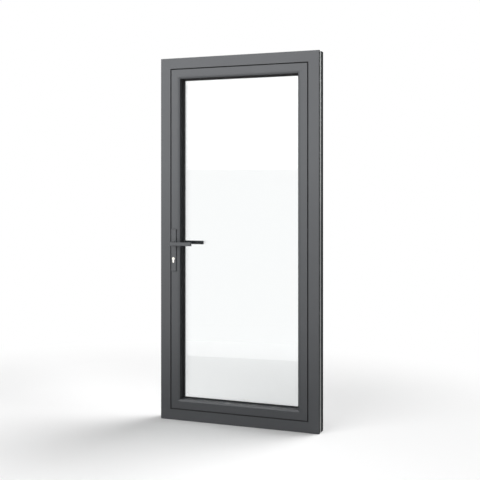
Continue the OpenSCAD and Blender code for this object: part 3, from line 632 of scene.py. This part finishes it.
# A card that only reflections see, bright or dark; it lights nothing and casts no shadow
def reflector(name, corners, bright, colour="#ffffff"):
    mesh = bpy.data.meshes.new(name)
    mesh.from_pydata(corners, [], [(0, 1, 2, 3)])
    card = bpy.data.objects.new(name, mesh)
    scene.collection.objects.link(card)
    card.visible_camera = card.visible_diffuse = card.visible_transmission = card.visible_shadow = False
    material, tree, surface = startMaterial(name + "_card")[:3]
    glow = addNode(tree, "ShaderNodeEmission", {"Color": toLinear(colour), "Strength": bright})
    tree.links.new(glow.outputs[0], surface)
    mesh.materials.append(material)


# High softbox in front: its lower edge is the level line across the upper glass
highBox = {
    "away": 9.5,         # metres from the mirrored eye
    "edge": 0.02419,     # rise of the lower edge for each metre away
    "size": (4.4, 3.0),  # metres
    "bright": 4.0,       # as a lamp
    "mirrored": 4.4,     # as seen in the coat and the glass
}
base = mirrorEye + mirrorAhead * highBox["away"]
edgeZ = eye["place"][2] + highBox["edge"] * highBox["away"]
wide, tall = highBox["size"]
highCentre = Vector((base.x, base.y, edgeZ + tall / 2))
softbox("high_softbox", highCentre, highCentre - mirrorAhead, highBox["size"], highBox["bright"])
across, up = mirrorRight * wide / 2, Vector((0, 0, tall))
lowEdge = Vector((base.x, base.y, edgeZ))
reflector("high_face", [lowEdge - across, lowEdge + across, lowEdge + across + up, lowEdge - across + up],
    highBox["mirrored"])


# A broad even light from one side of the room; level is what it adds to a white floor
def broadLight(name, bearing, rise, level, spread):
    lamp = bpy.data.lights.new(name, "SUN")
    rise, bearing = math.radians(rise), math.radians(bearing)
    lamp.energy = level * math.pi / math.sin(rise)
    lamp.angle = math.radians(spread)
    way = Vector((math.cos(rise) * math.cos(bearing), math.cos(rise) * math.sin(bearing), math.sin(rise)))
    light = bpy.data.objects.new(name, lamp)
    light.rotation_euler = way.to_track_quat("Z", "Y").to_euler()
    light.visible_glossy = False
    scene.collection.objects.link(light)


# From behind at the right: lays the door's soft shadow to the front left
rearRight = {"bearing": 46, "rise": 52, "level": 0.57, "spread": 42}  # degrees but for the level
broadLight("rear_right_light", **rearRight)

# Small snooted lamp beside the top corner, for the narrow side
sideLamp = {
    "place": (1.62, 0, 2.2), "aim": (0.5, 0, 1.9), "radius": 0.12,  # metres
    "power": 34, "cone": 62, "edge": 0.6,                           # watts, degrees, share of the cone
}
lamp = bpy.data.lights.new("side_lamp", "SPOT")
lamp.energy = sideLamp["power"]
lamp.spot_size = math.radians(sideLamp["cone"])
lamp.spot_blend = sideLamp["edge"]
lamp.shadow_soft_size = sideLamp["radius"]
light = bpy.data.objects.new("side_lamp", lamp)
light.location = sideLamp["place"]
light.rotation_euler = (Vector(sideLamp["aim"]) - light.location).to_track_quat("-Z", "Y").to_euler()
light.visible_glossy = False
scene.collection.objects.link(light)

# Low reflector standing on the floor in front, the pale band in the middle of the glass
lowCard = {
    "feet": ((-1.206, -1.841), (-0.230, -1.944)),  # metres
    "longer": 0.7,                                 # share added at each end
    "bright": 2.2,
}
left, right = (Vector((*p, 0)) for p in lowCard["feet"])
along = (right - left) * lowCard["longer"]
feet = [left - along, right + along]
rises = [highBox["edge"] * (p - mirrorEye).dot(mirrorAhead) for p in feet]
tops = [Vector((p.x, p.y, eye["place"][2] + rise)) for p, rise in zip(feet, rises)]
reflector("low_face", [*feet, tops[1], tops[0]], lowCard["bright"])

# Tall reflector at the right in front: lightens the bevels that face that way
rightCard = {
    "feet": ((2.5, -3.0), (4.3, -1.4)), "from": 1.6, "to": 4.4,  # metres
    "bright": 2.7, "colour": "#e4f2ff",
}
(x0, y0), (x1, y1) = rightCard["feet"]
low, high = rightCard["from"], rightCard["to"]
reflector("right_face", [(x0, y0, low), (x1, y1, low), (x1, y1, high), (x0, y0, high)],
    rightCard["bright"], rightCard["colour"])

# Dark cloth on the floor before the door, the darker band at the foot of the glass
cloth = {"near": 0.15, "bright": 0.1}  # near is metres from the face
reflector("floor_cloth", [feet[0], feet[1], (feet[1].x, frontY - cloth["near"], 0.001),
    (feet[0].x, frontY - cloth["near"], 0.001)], cloth["bright"])

# Dark flag behind the right edge: keeps the white room off the narrow side
flag = {"from": (0.503, 0.30), "to": (2.6, 0.12), "height": 3.4, "bright": 0.02}  # metres
(x0, y0), (x1, y1), top = flag["from"], flag["to"], flag["height"]
reflector("right_flag", [(x0, y0, 0), (x1, y1, 0), (x1, y1, top), (x0, y0, top)], flag["bright"])
print("floor, world and lights set")
